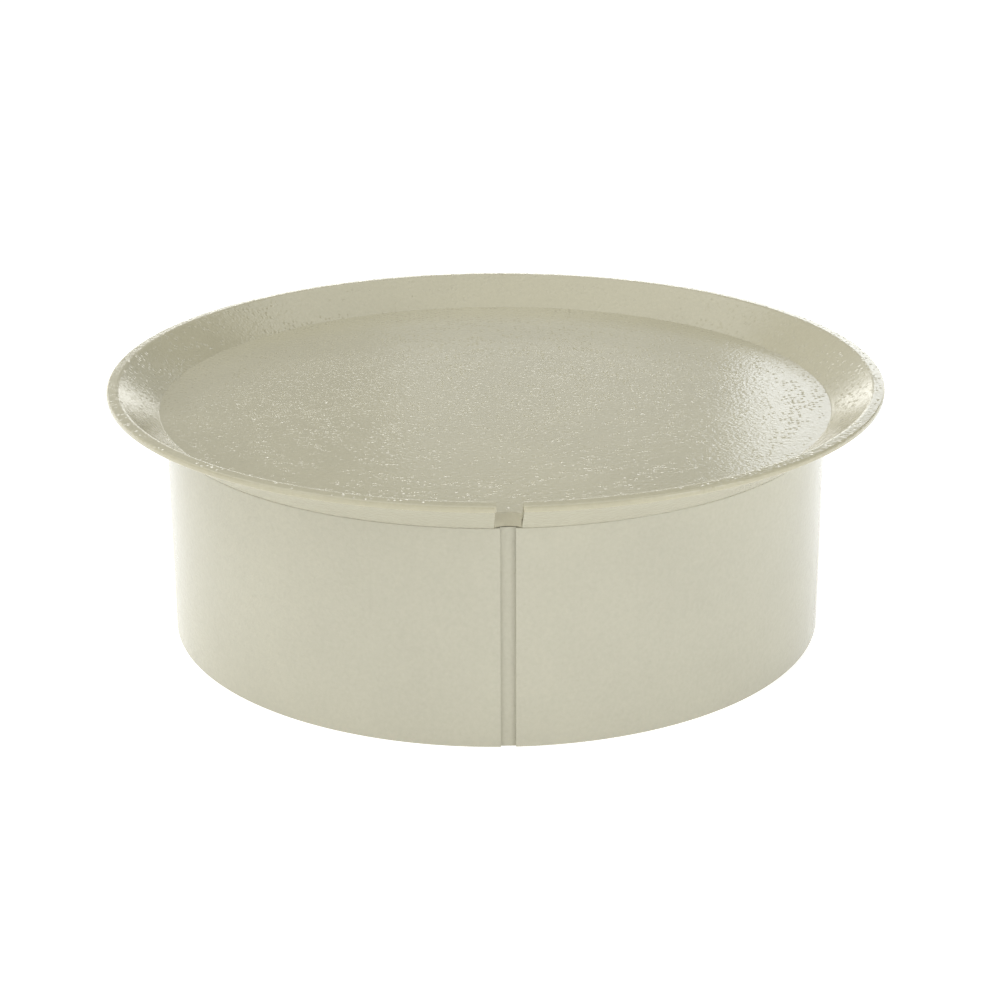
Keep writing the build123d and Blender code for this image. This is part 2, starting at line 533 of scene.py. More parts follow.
def ring_place(tree, arc, rings):
    """Place around and across the spin's rings: arc cells to a radian, rings to a metre."""
    split = tree.nodes.new("ShaderNodeSeparateXYZ")
    tree.links.new(object_place(tree), split.inputs[0])
    across, along = split.outputs["X"], split.outputs["Y"]
    radius = maths(tree, "MAXIMUM", distance(tree, across, along), 0.001)
    place = tree.nodes.new("ShaderNodeCombineXYZ")
    tree.links.new(maths(tree, "MULTIPLY", maths(tree, "DIVIDE", across, radius), arc), place.inputs["X"])
    tree.links.new(maths(tree, "MULTIPLY", maths(tree, "DIVIDE", along, radius), arc), place.inputs["Y"])
    tree.links.new(maths(tree, "MULTIPLY", radius, rings), place.inputs["Z"])
    return place.outputs[0]


def make_spin_marks():
    """Rings left by spinning, broken up along their length: a mask of where pips gather."""
    group, inlet, outlet = node_group(
        "Spin Marks",
        [("Rings", "NodeSocketFloat", 60.0), ("Arc", "NodeSocketFloat", 2.4)],
        [("Rings", "NodeSocketFloat")],
    )
    place = ring_place(group, inlet.outputs["Arc"], inlet.outputs["Rings"])
    rings = noise(group, place, 1.0, 2.0, 0.55)
    patches = noise(group, object_place(group), 11.0, 2.0, 0.5)
    rings = maths(group, "MULTIPLY", rings, 0.75)
    both = maths(group, "ADD", rings, maths(group, "MULTIPLY", patches, 0.25))
    group.links.new(ramp(group, both, 0.4, 0.6), outlet.inputs["Rings"])
    return group


def make_pips():
    """Scattered dimples, as many of them as the Share mask allows."""
    group, inlet, outlet = node_group(
        "Coat Pips",
        [("Pitch", "NodeSocketFloat", 240.0), ("Share", "NodeSocketFloat", 0.3)],
        [("Height", "NodeSocketFloat")],
    )
    cells = group.nodes.new("ShaderNodeTexVoronoi")
    cells.voronoi_dimensions = "2D"
    group.links.new(object_place(group), cells.inputs["Vector"])
    group.links.new(inlet.outputs["Pitch"], cells.inputs["Scale"])
    pick = group.nodes.new("ShaderNodeSeparateColor")
    group.links.new(cells.outputs["Color"], pick.inputs[0])
    spare = maths(group, "SUBTRACT", inlet.outputs["Share"], pick.outputs[0])
    depth = ramp(group, spare, 0.0, 0.15)
    bowl_radius = 0.4
    bowl = maths(group, "DIVIDE", cells.outputs["Distance"], bowl_radius, clamp=True)
    bowl = maths(group, "SUBTRACT", bowl, 1.0)
    group.links.new(maths(group, "MULTIPLY", bowl, depth), outlet.inputs["Height"])
    return group


def make_grain():
    """Fine even grain for rubber and plating."""
    group, inlet, outlet = node_group(
        "Fine Grain",
        [("Grain", "NodeSocketFloat", 0.0006)],
        [("Height", "NodeSocketFloat"), ("Patches", "NodeSocketFloat")],
    )
    place = object_place(group)
    pitch = maths(group, "DIVIDE", 1.0, inlet.outputs["Grain"])
    group.links.new(noise(group, place, pitch, 2.0, 0.6), outlet.inputs["Height"])
    group.links.new(noise(group, place, 40.0, 3.0, 0.6), outlet.inputs["Patches"])
    return group


def new_material(name):
    material = bpy.data.materials.new(name)
    material.use_nodes = True
    shader = material.node_tree.nodes["Principled BSDF"]
    return material, material.node_tree, shader


def place_group(tree, group, **values):
    node = tree.nodes.new("ShaderNodeGroup")
    node.node_tree = group
    for label, value in values.items():
        node.inputs[label].default_value = value
    return node


def bump(tree, shader, height, depth):
    """Relief from a height; depth is the metres that a height of one stands for."""
    node = tree.nodes.new("ShaderNodeBump")
    node.inputs["Distance"].default_value = depth
    tree.links.new(height, node.inputs["Height"])
    tree.links.new(node.outputs["Normal"], shader.inputs["Normal"])


def blended(tree, factor, first, second):
    """Colour that goes from the first to the second; each is a colour or a socket."""
    mix = tree.nodes.new("ShaderNodeMix")
    mix.data_type = "RGBA"
    for name, value in (("A", first), ("B", second)):
        socket = next(item for item in mix.inputs if item.name == name and item.type == "RGBA")
        if isinstance(value, bpy.types.NodeSocket):
            tree.links.new(value, socket)
        else:
            socket.default_value = (*value, 1)
    tree.links.new(factor, mix.inputs["Factor"])
    return next(item for item in mix.outputs if item.type == "RGBA")


def toned(tree, colour, factor, spread):
    """Base colour that drifts a little lighter and darker over the surface."""
    darker = [part * (1 - spread) for part in colour]
    lighter = [min(1, part * (1 + spread)) for part in colour]
    return blended(tree, factor, darker, lighter)


def make_coat(name, colour, look, groups, roughness, depth_share=1.0, spun=False):
    """Powder coat with orange peel; the spun pan's also has pips where its spin marks are."""
    _, tree, shader = new_material(name)
    peel = place_group(tree, groups["peel"], Dimple=look.peel_size)
    height = maths(tree, "MULTIPLY", peel.outputs["Height"], look.peel_depth * depth_share)
    mottle = maths(tree, "ADD", peel.outputs["Tone"], peel.outputs["Height"])
    mottle = maths(tree, "MULTIPLY", mottle, 0.5)
    paint = toned(tree, colour, mottle, 0.16)
    if spun:
        marks = place_group(tree, groups["marks"])
        pips = place_group(tree, groups["pips"], Pitch=1 / look.pip_spacing)
        share = maths(tree, "MULTIPLY", marks.outputs["Rings"], look.pip_share)
        tree.links.new(share, pips.inputs["Share"])
        dimples = maths(tree, "MULTIPLY", pips.outputs["Height"], look.pip_depth)
        height = maths(tree, "ADD", height, dimples)
    bump(tree, shader, height, 1.0)
    tree.links.new(paint, shader.inputs["Base Color"])
    gloss = ramp(tree, peel.outputs["Tone"], 0.3, 0.7, roughness * 0.85, roughness * 1.2)
    tree.links.new(gloss, shader.inputs["Roughness"])


def make_grained(name, colour, groups, grain_size, spread, roughness, depth, metallic=0.0):
    """Rubber or plating: a fine grain, and patches that are duller or brighter."""
    _, tree, shader = new_material(name)
    grain = place_group(tree, groups["grain"], Grain=grain_size)
    patches = grain.outputs["Patches"]
    tree.links.new(toned(tree, colour, patches, spread), shader.inputs["Base Color"])
    tree.links.new(ramp(tree, patches, 0.3, 0.7, *roughness), shader.inputs["Roughness"])
    shader.inputs["Metallic"].default_value = metallic
    bump(tree, shader, grain.outputs["Height"], depth)


def finishes():
    """Every material of the cover, made once and found by name."""
    if "Lid Coat" not in bpy.data.materials:
        look = bpy.context.scene.cover_finish
        groups = {
            "peel": make_orange_peel(),
            "marks": make_spin_marks(),
            "pips": make_pips(),
            "grain": make_grain(),
        }
        make_coat("Lid Coat", look.lid_coat, look, groups, 0.08, spun=True)
        make_coat("Skirt Coat", look.skirt_coat, look, groups, 0.16, depth_share=0.9)
        make_coat("Frame Coat", look.skirt_coat, look, groups, 0.2, depth_share=0.6)
        make_coat("Inner Coat", look.inner_coat, look, groups, 0.36, depth_share=0.5)
        make_grained("Pad Rubber", look.rubber, groups, 0.0007, 0.25, (0.62, 0.8), 0.00005)
        make_grained("Zinc Plating", look.zinc, groups, 0.0004, 0.12, (0.26, 0.42), 0.00002, 1.0)
    return bpy.data.materials


# ---- shared geometry of the lid and collar


class Flare:
    """The cone that the pan and the collar share, worked out from the frame and the sheet sizes."""

    def __init__(self):
        sizes = bpy.context.scene.cover_sizes
        self.sheet = sizes.sheet
        self.skirt = outer_radius("skirt_shell")
        self.rim = outer_radius("cover_pan")
        self.floor_z = high("locating_hoop") + self.sheet
        self.floor = self.skirt + sizes.floor_margin
        self.lip = self.floor + sizes.flare_run
        self.lip_z = high("cover_pan")
        self.angle = math.atan2(self.lip_z - self.floor_z, sizes.flare_run)
        self.slope = math.tan(self.angle)
        self.miter = math.tan(self.angle / 2)
        self.hoop = outer_radius("locating_hoop")
        self.spigot = self.skirt - 2 * self.sheet
        self.collar_top = self.sheet + sizes.rim_gap
        self.collar_under = self.collar_top + self.sheet

    def cone_z(self, radius, depth):
        return self.floor_z + (radius - self.floor) * self.slope - depth / math.cos(self.angle)


def notch_block(width, near, far, bottom, top):
    """Cutter across the notch between two distances from the axis."""
    bm = bmesh.new()
    block(bm, (width, far - near, top - bottom), (0, -(near + far) / 2, (bottom + top) / 2))
    outward(bm)
    return bare_object(bm, "cutter")


def notch_outline(flare):
    """Plan of the notch as a list of points: rounded inner end, straight sides, rounded mouth."""
    sizes = bpy.context.scene.cover_sizes
    edge = sizes.notch_width / 2
    end_radius = sizes.notch_end
    centre = -(flare.hoop + flare.sheet + NOTCH_END_GAP + sizes.notch_end)
    mouth = -math.sqrt(flare.rim**2 - edge**2)
    corner = sizes.notch_corner
    past_rim = 0.02
    far = -(flare.rim + past_rim)
    wide = edge + 2 * corner
    right = [(wide, far), (wide, mouth), (edge + corner, mouth)]
    for step in range(1, 7):
        turn = step * math.pi / 12
        right.append((edge + corner * (1 - math.sin(turn)), mouth + corner * (1 - math.cos(turn))))
    reach = math.asin(edge / end_radius)
    arc = []
    for step in range(17):
        turn = reach * (1 - step / 8)
        arc.append((end_radius * math.sin(turn), centre + end_radius * math.cos(turn)))
    left = [(-x, y) for x, y in reversed(right)]
    return right + arc + left


def prism(points, bottom, top):
    """Upright prism on a plan outline."""
    bm = bmesh.new()
    ring = [bm.verts.new((x, y, bottom)) for x, y in points]
    base = bm.faces.new(ring)
    lifted = bmesh.ops.extrude_face_region(bm, geom=[base])
    raised = only(lifted["geom"], bmesh.types.BMVert)
    bmesh.ops.translate(bm, vec=(0, 0, top - bottom), verts=raised)
    outward(bm)
    return bm


# ---- lid


class COVER_OT_pan(bpy.types.Operator):
    """Spun lid pan with its flare, hemmed lip, drain notch and folded apron"""

    bl_idname = "cover.pan"
    bl_label = "Lid Pan"

    def execute(self, context):
        sizes = context.scene.cover_sizes
        flare = Flare()
        sheet = flare.sheet
        rim_top = flare.lip_z - sizes.lip_fall
        hem_z = rim_top - sizes.lip_height
        hem = flare.rim - sizes.hem_width
        points = [
            (0, flare.floor_z),
            (flare.floor, flare.floor_z),
            (flare.lip, flare.lip_z),
            (flare.rim, rim_top),
            (flare.rim, hem_z),
            (hem, hem_z),
            (hem, flare.lip_z - sheet),
            (flare.lip + sheet * flare.miter, flare.lip_z - sheet),
            (flare.floor + sheet * flare.miter, flare.floor_z - sheet),
            (0, flare.floor_z - sheet),
        ]
        rounds = [(1, 0.0008), (2, 0.002), (3, 0.0022), (4, 0.0018), (5, 0.0008), (7, 0.001), (8, 0.001)]
        pan = bare_object(spin_full(points, rounds), "lid_pan")
        cutter = prism(notch_outline(flare), flare.floor_z - 2 * sheet, flare.lip_z + sheet)
        cut_away(pan, bare_object(cutter, "cutter"))
        reach = sizes.notch_width / 2 + 2 * sizes.notch_corner

        def beside_notch(centre):
            return abs(centre.x) < reach and centre.y < -flare.hoop

        round_cut_edges(pan, beside_notch, sizes.edge_round)
        dress(pan, finishes()["Lid Coat"])
        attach(pan, "lid")
        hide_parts("cover_pan")
        self.fold_apron(sizes, flare)
        return {"FINISHED"}

    @staticmethod
    def fold_apron(sizes, flare):
        """The tongue folded down at the notch's inner end."""
        centre = flare.hoop + flare.sheet + NOTCH_END_GAP + sizes.notch_end
        below_cad = 0.0007
        bottom = low("cover_pan") - below_cad
        inner = sizes.notch_end
        outer = inner + flare.sheet
        under_floor, outer_fall, wrap = 0.00005, 0.0004, 1.03
        tops = [(inner, flare.floor_z - under_floor), (outer, flare.floor_z - outer_fall)]
        section = [(inner, bottom), *tops, (outer, bottom)]
        reach = math.asin(sizes.notch_width / 2 / inner) * wrap
        bm = spin_part(section, math.pi / 2 - reach, 2 * reach, [(0, 0.0006), (1, 0.0014)], steps=24)
        bmesh.ops.translate(bm, vec=(0, -centre, 0), verts=bm.verts[:])
        finished(bm, "notch_apron", finishes()["Lid Coat"], "lid")


class COVER_OT_hoop(bpy.types.Operator):
    """Locating hoop under the pan, with the slot for the key"""

    bl_idname = "cover.hoop"
    bl_label = "Locating Hoop"

    def execute(self, context):
        sizes = context.scene.cover_sizes
        outer = outer_radius("locating_hoop")
        section = flat_section(outer - sizes.sheet, outer, low("locating_hoop"), high("locating_hoop"))
        hoop = bare_object(spin_full(section, [(0, 0.0007), (1, 0.0007)]), "lid_hoop")
        key_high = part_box("locating_key")[1]
        inset = 0.00125
        margin = sizes.notch_width / 2 - key_high[0] - inset
        slot_top = key_high[2] + margin
        slot = 2 * (key_high[0] + margin)
        beyond = outer_radius("cover_pan") + 0.01
        cut_away(hoop, notch_block(slot, outer / 2, beyond, low("locating_hoop") - 0.01, slot_top))

        def at_slot(centre):
            return centre.y < -outer / 2 and centre.z < slot_top + 0.001

        round_cut_edges(hoop, at_slot, 0.0005)
        dress(hoop, finishes()["Inner Coat"])
        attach(hoop, "lid")
        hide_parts("locating_hoop")
        return {"FINISHED"}


class COVER_OT_lid_stiffening(bpy.types.Operator):
    """Hub, radial ribs and tie ring under the pan, with their welds"""

    bl_idname = "cover.lid_stiffening"
    bl_label = "Lid Stiffening"

    def execute(self, context):
        sizes = context.scene.cover_sizes
        coat = finishes()["Inner Coat"]
        hub = outer_radius("hub_tube")
        bottom, top = low("hub_tube"), high("hub_tube")
        wall = 0.004
        section = flat_section(hub - wall, hub, bottom, top)
        tube = spin_full(section, [(0, 0.0008), (1, 0.0008)], 96)
        finished(tube, "lid_hub", coat, "lid", ["hub_tube"])
        tie = outer_radius("tie_ring")
        width = 0.030
        section = flat_section(tie - width, tie, low("tie_ring"), high("tie_ring"))
        finished(spin_full(section, all_corners(0.0008)), "lid_tie_ring", coat, "lid", ["tie_ring"])
        hoop_inner = outer_radius("locating_hoop") - sizes.sheet
        for number, node in enumerate(RIB_NODES):
            turn = spoke(number, len(RIB_NODES))
            bm = bmesh.new()
            length = hoop_inner - hub
            middle = (bottom + top) / 2
            block(bm, (length, sizes.rib_wall, top - bottom), (hub + length / 2, 0, middle), 0.0007)
            turn_about(bm, bm.verts[:], turn)
            finished(bm, f"lid_rib_{number + 1}", coat, "lid", [node])
        welds = bmesh.new()
        for number in range(len(RIB_NODES)):
            turn = spoke(number, len(RIB_NODES))
            for side in (-1, 1):
                offset = side * sizes.rib_wall / 2
                straight_weld(welds, hub, hoop_inner, offset, top, side, turn, sizes.weld_leg)
        finished(welds, "rib_welds", coat, "lid")
        leg = sizes.weld_leg
        corner = [(hub, top), (hub + leg, top), (hub, top - leg)]
        round_weld("hub_weld", corner, coat, "lid", 240, 96)
        corner = [(hoop_inner, top), (hoop_inner, top - leg), (hoop_inner - leg, top)]
        round_weld("hoop_weld", corner, coat, "lid")
        return {"FINISHED"}


def round_weld(name, corner, coat, body, steps=720, waves=420):
    """Ring bead, pulled in and out along its length like the ripples of a weld."""
    bead = spin_full(corner, steps=steps)
    for vert in bead.verts:
        radius = math.hypot(vert.co.x, vert.co.y)
        turn = math.atan2(vert.co.y, vert.co.x)
        move = RIPPLE * math.sin(waves * turn) / radius
        vert.co.x -= vert.co.x * move
        vert.co.y -= vert.co.y * move
    finished(bead, name, coat, body)


def straight_weld(bm, start, end, offset, top, side, turn, leg):
    """Triangular bead along a rib's top edge."""
    steps, swell = 48, 0.08
    corners = [(offset, top), (offset + side * leg, top), (offset, top - leg)]
    wire = [bm.verts.new((start, y, z)) for y, z in corners]
    current = bm.faces.new(wire)
    made = set(wire)
    for step in range(steps):
        grown = bmesh.ops.extrude_face_region(bm, geom=[current])
        verts = only(grown["geom"], bmesh.types.BMVert)
        faces = only(grown["geom"], bmesh.types.BMFace)
        bmesh.ops.translate(bm, vec=((end - start) / steps, 0, 0), verts=verts)
        ripple = 1 + (swell if step % 2 else -swell)
        for vert in verts:
            vert.co.z = top + (vert.co.z - top) * ripple
        if step:
            bmesh.ops.delete(bm, geom=[current], context="FACES_ONLY")
        made.update(verts)
        current = faces[0]
    turn_about(bm, list(made), turn)
    outward(bm)


class COVER_OT_pads(bpy.types.Operator):
    """Rubber pads: rim strip, seat ring pad and the seal around the hoop"""

    bl_idname = "cover.pads"
    bl_label = "Rubber Pads"

    def execute(self, context):
        rubber = finishes()["Pad Rubber"]
        flare = Flare()
        past_floor, half_gap = 0.009, 0.0165
        start = flare.floor + past_floor
        gap = math.asin(half_gap / start)
        end = outer_radius("rim_pad")
        under_pan = 0.0003
        over = flare.sheet + under_pan
        under = flare.collar_top
        points = [(start, flare.cone_z(start, under)), (end, flare.cone_z(end, under))]
        points += [(end, flare.cone_z(end, over)), (start, flare.cone_z(start, over))]
        bm = open_ring(points, gap, all_corners(0.0004))
        finished(bm, "rim_strip", rubber, "frame", ["rim_pad"])
        outer = outer_radius("seat_pad")
        gap = math.asin((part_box("locating_key")[1][0] + KEY_CLEARANCE) / outer)
        width = 0.012
        section = flat_section(outer - width, outer, low("seat_pad"), high("seat_pad"))
        bm = open_ring(section, gap, all_corners(0.0006))
        finished(bm, "seat_pad_ring", rubber, "frame", ["seat_pad"])
        outer = outer_radius("hoop_seal")
        inner = outer_radius("locating_hoop")
        bottom, top = low("hoop_seal"), high("hoop_seal")
        middle = (bottom + top) / 2
        lip, dip = 0.001, 0.0005
        crest = [(outer, bottom + lip), (outer - dip, middle), (outer, top - lip)]
        seal = spin_full([(inner, bottom), *crest, (inner, top)], all_corners(0.0003, 5))
        finished(seal, "hoop_seal_strip", rubber, "lid", ["hoop_seal"])
        return {"FINISHED"}


# ---- frame


class COVER_OT_skirt(bpy.types.Operator):
    """Rolled skirt with its open joint, and the strap behind it"""

    bl_idname = "cover.skirt"
    bl_label = "Skirt"

    def execute(self, context):
        sizes = context.scene.cover_sizes
        coat = finishes()["Skirt Coat"]
        outer = outer_radius("skirt_shell")
        inner = outer - sizes.sheet
        gap = math.asin(sizes.joint_gap / 2 / outer)
        section = flat_section(inner, outer, low("skirt_shell"), high("skirt_shell"))
        rounds = [(0, 0.0006), (1, 0.0009), (2, 0.0009)]
        bm = open_ring(section, gap, rounds)
        skirt = finished(bm, "rolled_skirt", coat, "frame", ["skirt_shell"])

        def joint_edge(centre):
            return centre.y < -inner and abs(centre.x) < sizes.joint_gap / 2 + 0.0005

        round_cut_edges(skirt, joint_edge, 0.0008)
        shade(skirt)
        strap_inner = inner - sizes.sheet
        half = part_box("joint_strap")[1][0]
        reach = math.asin(half / inner)
        section = flat_section(strap_inner, inner, low("joint_strap"), high("joint_strap"))
        bm = spin_part(section, NOTCH_SIDE - reach, 2 * reach, steps=36)
        strap = finished(bm, "joint_cover_strap", finishes()["Frame Coat"], "frame", ["joint_strap"])
        round_cut_edges(strap, lambda centre: True, 0.0005)
        shade(strap)
        return {"FINISHED"}


class COVER_OT_collar(bpy.types.Operator):
    """Flared collar on the skirt, with its notch"""

    bl_idname = "cover.collar"
    bl_label = "Collar"

    def execute(self, context):
        flare = Flare()
        sizes = context.scene.cover_sizes
        outer = outer_radius("collar_ring")
        skirt_top = high("skirt_shell")
        inner = flare.spigot
        points = [
            (flare.skirt, skirt_top),
            (outer, flare.cone_z(outer, flare.collar_under)),
            (outer, flare.cone_z(outer, flare.collar_top)),
            (inner, flare.cone_z(inner, flare.collar_top)),
            (inner, low("collar_ring")),
            (flare.skirt - flare.sheet, low("collar_ring")),
            (flare.skirt - flare.sheet, skirt_top),
        ]
        collar = bare_object(spin_full(points, [(1, 0.0008), (2, 0.0008), (3, 0.001)]), "flared_collar")
        wider = 0.0015
        width = sizes.notch_width + wider
        cut_away(collar, notch_block(width, flare.hoop, flare.rim + 0.01, skirt_top, flare.lip_z + 0.01))

        def beside_notch(centre):
            beside = abs(centre.x) < width / 2 + 0.001
            return beside and centre.y < -flare.hoop and centre.z > skirt_top + 0.0005

        round_cut_edges(collar, beside_notch, 0.0006)
        dress(collar, finishes()["Skirt Coat"])
        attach(collar, "frame")
        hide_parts("collar_ring")
        return {"FINISHED"}


class COVER_OT_seat(bpy.types.Operator):
    """Seat ring, base ring, gussets and locating key, with their welds"""

    bl_idname = "cover.seat"
    bl_label = "Seat and Base"

    def execute(self, context):
        sizes = context.scene.cover_sizes
        coat = finishes()["Frame Coat"]
        wall_inner = outer_radius("skirt_shell") - sizes.sheet
        ring_width, hole_setback = 0.0325, 0.0185
        for node, name in (("seat_ring", "lid_seat"), ("base_ring", "base_flange")):
            bottom, top = low(node), high(node)
            section = flat_section(wall_inner - ring_width, wall_inner, bottom, top)
            ring = bare_object(spin_full(section, [(0, 0.0008), (3, 0.0008)]), name)
            if node == "base_ring":
                self.drill(ring, wall_inner - hole_setback, bottom, top)
            dress(ring, coat)
            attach(ring, "frame")
            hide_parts(node)
        bottom, top = high("base_ring"), low("seat_ring")
        reach, cope = 0.026, 0.009
        same = 1e-6
        for number, node in enumerate(GUSSET_NODES):
            turn = spoke(number, len(GUSSET_NODES))
            bm = bmesh.new()
            centre = (wall_inner - reach / 2, 0, (bottom + top) / 2)
            block(bm, (reach, sizes.gusset_wall, top - bottom), centre)
            corner = []
            for edge in bm.edges:
                first, second = (vert.co for vert in edge.verts)
                level = abs(first.x - second.x) < same and abs(first.z - second.z) < same
                if level and first.x > centre[0]:
                    corner.append(edge)
            soften(bm, corner, cope, 1)
            soften(bm, bm.edges[:], sizes.edge_round)
            turn_about(bm, bm.verts[:], turn)
            finished(bm, f"frame_gusset_{number + 1}", coat, "frame", [node])
        self.add_welds(sizes, wall_inner, coat)
        key_low, key_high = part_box("locating_key")
        bm = bmesh.new()
        size = [high_end - low_end for low_end, high_end in zip(key_low, key_high)]
        middle = [(low_end + high_end) / 2 for low_end, high_end in zip(key_low, key_high)]
        block(bm, size, middle, 0.0008)
        finished(bm, "lid_key", coat, "frame", ["locating_key"])
        return {"FINISHED"}

    @staticmethod
    def drill(ring, circle, bottom, top):
        """The anchor holes of the base flange."""
        count, hole = 8, 0.007
        depth = 3 * (top - bottom)
        bm = bmesh.new()
        for number in range(count):
            turn = number * FULL_TURN / count
            spot = (circle * math.cos(turn), circle * math.sin(turn), (bottom + top) / 2)
            cone(bm, 40, hole, hole, depth, Matrix.Translation(spot))
        cut_away(ring, bare_object(bm, "cutter"))

    @staticmethod
    def add_welds(sizes, wall_inner, coat):
        """Ring beads between the skirt and its two inner rings."""
        leg = sizes.weld_leg
        levels = [("base_weld", high("base_ring"), 1), ("seat_weld", low("seat_ring"), -1)]
        for name, level, direction in levels:
            corner = [(wall_inner, level), (wall_inner - leg, level), (wall_inner, level + direction * leg)]
            round_weld(name, corner, coat, "frame")


class COVER_OT_strap_fixings(bpy.types.Operator):
    """Welded studs and flange nuts that hold the joint strap"""

    bl_idname = "cover.strap_fixings"
    bl_label = "Strap Fixings"

    def execute(self, context):
        zinc = finishes()["Zinc Plating"]
        sizes = context.scene.cover_sizes
        inner = outer_radius("skirt_shell") - sizes.sheet
        strap_inner = inner - sizes.sheet
        stud_low, stud_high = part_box("strap_studs")
        radius, length = 0.003, 0.012
        rows = 4
        step = (stud_high[2] - stud_low[2] - 2 * radius) / (rows - 1)
        heights = [stud_low[2] + radius + row * step for row in range(rows)]
        from_joint = 0.012
        offset = (sizes.joint_gap / 2 + from_joint) / inner
        studs, nuts = bmesh.new(), bmesh.new()
        for height in heights:
            for side in (-1, 1):
                turn = Matrix.Rotation(NOTCH_SIDE + side * offset, 4, "Z")
                self.stud(studs, turn, inner, radius, length, height)
                self.nut(nuts, turn, strap_inner, height)
        finished(studs, "strap_stud_set", zinc, "frame", ["strap_studs"])
        finished(nuts, "strap_nut_set", zinc, "frame", ["strap_nuts"])
        return {"FINISHED"}

    @staticmethod
    def stud(bm, turn, inner, radius, length, height):
        """Stud with turned threads."""
        root_share = 0.82
        pitch, root = 0.001, radius * root_share
        threads = int(length / pitch)
        points = [(0, 0)]
        for number in range(threads):
            points += [(root, number * pitch), (radius, (number + 0.5) * pitch)]
        points += [(root, threads * pitch), (0, threads * pitch)]
        part = bmesh.new()
        wire = [part.verts.new((r, 0, z)) for r, z in points]
        edges = [part.edges.new(pair) for pair in zip(wire, wire[1:])]
        closed_spin(part, wire + edges, 24)
        foot = Matrix.Translation((inner - length, 0, height))
        place = turn @ foot @ Matrix.Rotation(math.pi / 2, 4, "Y")
        join_into(bm, part, place)

    @staticmethod
    def nut(bm, turn, face, height):
        """Hexagon nut on a round flange."""
        across_corners, body = 0.00577, 0.0043
        flange, flange_foot, flange_top = 0.0012, 0.00675, 0.0061
        part = bmesh.new()
        middle = Matrix.Translation((0, 0, flange + body / 2))
        hexagon = cone(part, 6, across_corners, across_corners, body, middle)
        soften(part, list({edge for vert in hexagon for edge in vert.link_edges}), 0.0004)
        cone(part, 32, flange_foot, flange_top, flange, Matrix.Translation((0, 0, flange / 2)))
        foot = Matrix.Translation((face, 0, height))
        place = turn @ foot @ Matrix.Rotation(-math.pi / 2, 4, "Y")
        join_into(bm, part, place)


def join_into(bm, part, place):
    """Adds a small part to a bmesh at its place."""
    bmesh.ops.transform(part, matrix=place, verts=part.verts[:])
    mesh = bpy.data.meshes.new("part")
    part.to_mesh(mesh)
    part.free()
    bm.from_mesh(mesh)
    bpy.data.meshes.remove(mesh)


# ---- stage


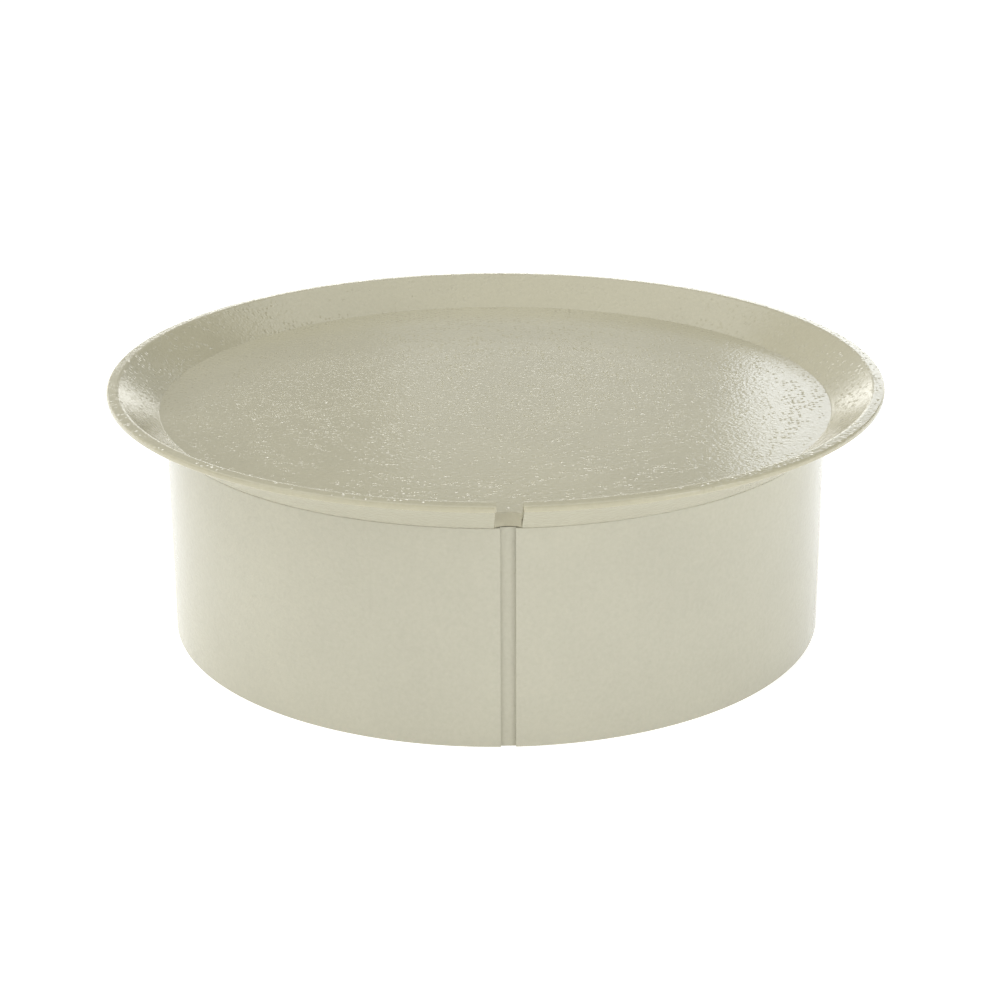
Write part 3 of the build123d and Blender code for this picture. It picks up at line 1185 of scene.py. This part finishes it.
class COVER_OT_stage(bpy.types.Operator):
    """Pale floor, soft studio light and the camera"""

    bl_idname = "cover.stage"
    bl_label = "Stage"

    def execute(self, context):
        stage = context.scene.cover_stage
        self.lay_floor(stage)
        self.set_world(stage)
        self.hang_lights()
        self.set_camera(context, stage)
        context.scene.view_settings.view_transform = "Standard"
        return {"FINISHED"}

    @staticmethod
    def lay_floor(stage):
        bm = bmesh.new()
        half_width = 14
        bmesh.ops.create_grid(bm, x_segments=1, y_segments=1, size=half_width)
        floor = bare_object(bm, "studio_floor")
        material, _, shader = new_material("Studio Floor")
        shader.inputs["Base Color"].default_value = (0.88, 0.88, 0.88, 1)
        shader.inputs["Roughness"].default_value = 0.9
        shader.inputs["Emission Color"].default_value = (1, 1, 1, 1)
        shader.inputs["Emission Strength"].default_value = stage.floor_glow
        floor.data.materials.append(material)

    @staticmethod
    def set_world(stage):
        """Lighter on the left, darker on the right, with a bright strip low behind the cover."""
        world = bpy.data.worlds.new("Studio")
        world.use_nodes = True
        tree = world.node_tree
        split = tree.nodes.new("ShaderNodeSeparateXYZ")
        tree.links.new(tree.nodes.new("ShaderNodeTexCoord").outputs["Generated"], split.inputs[0])
        right, behind, up = split.outputs
        shaded = maths(tree, "MULTIPLY", ramp(tree, right, 0.08, 0.2), ramp(tree, up, 0.8, 0.66))
        shaded = maths(tree, "MULTIPLY", shaded, ramp(tree, behind, -0.3, 0.1))
        level = maths(tree, "SUBTRACT", 1.0, maths(tree, "MULTIPLY", shaded, 0.85))
        level = maths(tree, "ADD", level, ramp(tree, right, -0.05, -0.35, 0.0, 0.9))
        level = maths(tree, "MULTIPLY", level, stage.world_level)
        strip = maths(tree, "MULTIPLY", ramp(tree, up, 0.02, 0.04), ramp(tree, up, 0.185, 0.155))
        strip = maths(tree, "MULTIPLY", strip, ramp(tree, behind, 0.3, 0.6))
        level = maths(tree, "ADD", level, maths(tree, "MULTIPLY", strip, stage.strip_level))
        back = tree.nodes["Background"]
        back.inputs["Color"].default_value = (0.97, 0.965, 0.93, 1)
        tree.links.new(level, back.inputs["Strength"])
        bpy.context.scene.world = world

    @staticmethod
    def hang_lights():
        soft_light("ceiling", (-0.9, 0.3, 3.2), (-0.9, 0.3, 0), 5.0, 4.5, 1.15)
        soft_light("left_box", (-3.2, -2.0, 1.1), (0, 0, 0.1), 1.6, 1.6, 1.9)
        soft_light("right_box", (3.0, -2.4, 1.1), (0, 0, 0.1), 1.8, 1.6, 4.8)
        soft_light("back_window", (0.94, 1.9, 0.87), (0.94, 0, 0.87), 0.8, 0.64, 2.1)
        soft_light("window_glow", (0.2, 1.92, 0.87), (0.2, 0, 0.87), 0.68, 0.4, 0.32)

    @staticmethod
    def set_camera(context, stage):
        azimuth = stage.camera_azimuth
        flat = stage.camera_distance * math.cos(stage.camera_elevation)
        rise = stage.camera_distance * math.sin(stage.camera_elevation)
        from_lid = Vector((-flat * math.sin(azimuth), -flat * math.cos(azimuth), rise))
        spot = Vector((0, 0, Flare().floor_z)) + from_lid
        camera = bpy.data.objects.new("camera", bpy.data.cameras.new("camera"))
        camera.data.lens = stage.lens
        camera.location = spot
        side = Vector((math.cos(azimuth), -math.sin(azimuth), 0))
        aim = side * stage.aim_side + Vector((0, 0, stage.aim_height))
        look = (aim - spot).to_track_quat("-Z", "Y") @ Quaternion((0, 0, 1), stage.camera_roll)
        camera.rotation_mode = "QUATERNION"
        camera.rotation_quaternion = look
        context.scene.collection.objects.link(camera)
        context.scene.camera = camera


def soft_light(name, place, aim, width, height, radiance):
    """Rectangular soft box that faces a point, as bright as its radiance."""
    light = bpy.data.lights.new(name, "AREA")
    light.shape = "RECTANGLE"
    light.size = width
    light.size_y = height
    light.energy = radiance * math.pi * width * height
    light.color = DAYLIGHT
    lamp = bpy.data.objects.new(name, light)
    lamp.location = place
    lamp.rotation_euler = (Vector(aim) - Vector(place)).to_track_quat("-Z", "Y").to_euler()
    bpy.context.scene.collection.objects.link(lamp)


# ---- panel and main


class COVER_PT_panel(bpy.types.Panel):
    """Lists the steps that build the cover"""

    bl_idname = "COVER_PT_panel"
    bl_label = "Manhole Cover"
    bl_space_type = "VIEW_3D"
    bl_region_type = "UI"
    bl_category = "Manhole Cover"

    def draw(self, context):
        for operator in OPERATORS:
            self.layout.operator(operator.bl_idname)
        scene = context.scene
        for settings in (scene.cover_sizes, scene.cover_finish, scene.cover_stage):
            box = self.layout.box()
            for name in settings.__annotations__:
                box.prop(settings, name)


OPERATORS = (
    COVER_OT_pan,
    COVER_OT_hoop,
    COVER_OT_lid_stiffening,
    COVER_OT_pads,
    COVER_OT_skirt,
    COVER_OT_collar,
    COVER_OT_seat,
    COVER_OT_strap_fixings,
    COVER_OT_stage,
)
CLASSES = (CoverSizes, CoverFinish, StageSettings, *OPERATORS, COVER_PT_panel)


def register():
    for cls in CLASSES:
        bpy.utils.register_class(cls)
    bpy.types.Scene.cover_sizes = PointerProperty(type=CoverSizes)
    bpy.types.Scene.cover_finish = PointerProperty(type=CoverFinish)
    bpy.types.Scene.cover_stage = PointerProperty(type=StageSettings)


def unregister():
    del bpy.types.Scene.cover_stage
    del bpy.types.Scene.cover_finish
    del bpy.types.Scene.cover_sizes
    for cls in reversed(CLASSES):
        bpy.utils.unregister_class(cls)


def main():
    """Registers the add-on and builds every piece."""
    register()
    bpy.ops.cover.pan()
    bpy.ops.cover.hoop()
    bpy.ops.cover.lid_stiffening()
    bpy.ops.cover.pads()
    bpy.ops.cover.skirt()
    bpy.ops.cover.collar()
    bpy.ops.cover.seat()
    bpy.ops.cover.strap_fixings()
    bpy.ops.cover.stage()


if __name__ == "__main__":
    main()
